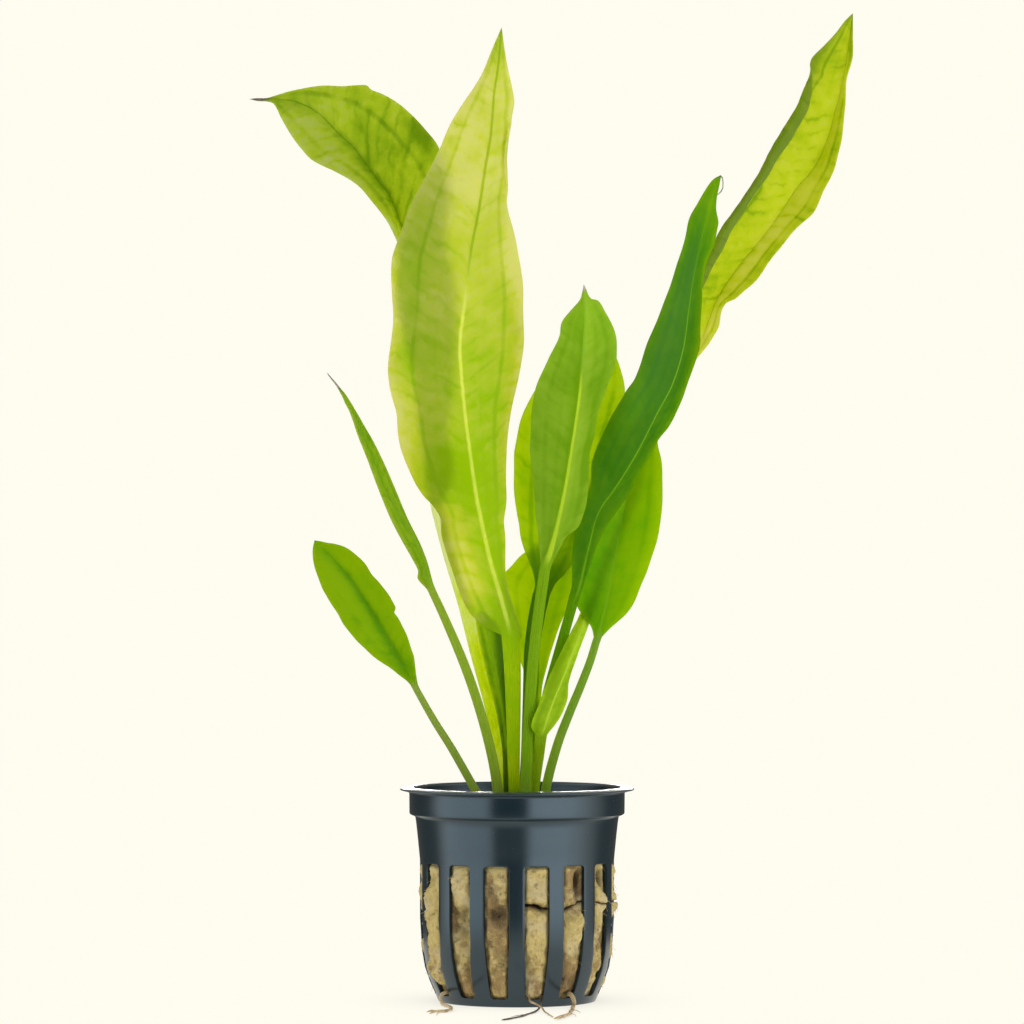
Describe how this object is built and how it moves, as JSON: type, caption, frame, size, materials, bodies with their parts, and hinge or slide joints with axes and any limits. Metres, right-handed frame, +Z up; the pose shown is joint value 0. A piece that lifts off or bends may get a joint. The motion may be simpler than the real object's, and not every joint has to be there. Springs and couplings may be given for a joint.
{
  "type": "potted amazon sword plant",
  "caption": "Broad-leaved aquarium sword plant with stalked leaves on a short crown, rooted in rock wool inside a slotted net pot with a flat foot.",
  "frame": {"origin": "middle of the underside of the pot, on the surface it stands on", "axes": "+Z up, -Y the front that the picture shows, +X to the right"},
  "size_m": [0.1486, 0.1007, 0.2411],
  "materials": {
    "pot_plastic": "black moulded plastic with a soft sheen",
    "rock_wool": "matted mineral fibre, tan with brown stains",
    "crown_tissue": "pale green plant tissue",
    "root_pale": "pale root",
    "root_dark": "dark old root",
    "leaf_yellow": "thin yellow green leaf that lets light through",
    "leaf_fresh": "fresh green leaf that lets light through",
    "leaf_deep": "deep green leaf with a soft gloss"
  },
  "bodies": {
    "root": {"net_pot": "pot_plastic", "rock_wool_left": "rock_wool", "rock_wool_upper_right": "rock_wool", "rock_wool_lower_right": "rock_wool", "rock_wool_back": "rock_wool", "crown": "crown_tissue", "root_left": "root_pale", "root_front_dark": "root_dark", "root_front_fine": "root_pale", "root_right": "root_pale", "leaf_tall_front": "leaf_yellow", "leaf_arching_left": "leaf_yellow", "leaf_narrow_left": "leaf_fresh", "leaf_spoon_left": "leaf_fresh", "leaf_middle_front": "leaf_fresh", "leaf_middle_back": "leaf_fresh", "leaf_dark_right": "leaf_deep", "leaf_folded_right": "leaf_yellow", "leaf_round_right": "leaf_deep", "leaf_inner_back": "leaf_fresh", "leaf_folded_young": "leaf_fresh", "leaf_inner_young": "leaf_fresh"}
  },
  "joints": []
}
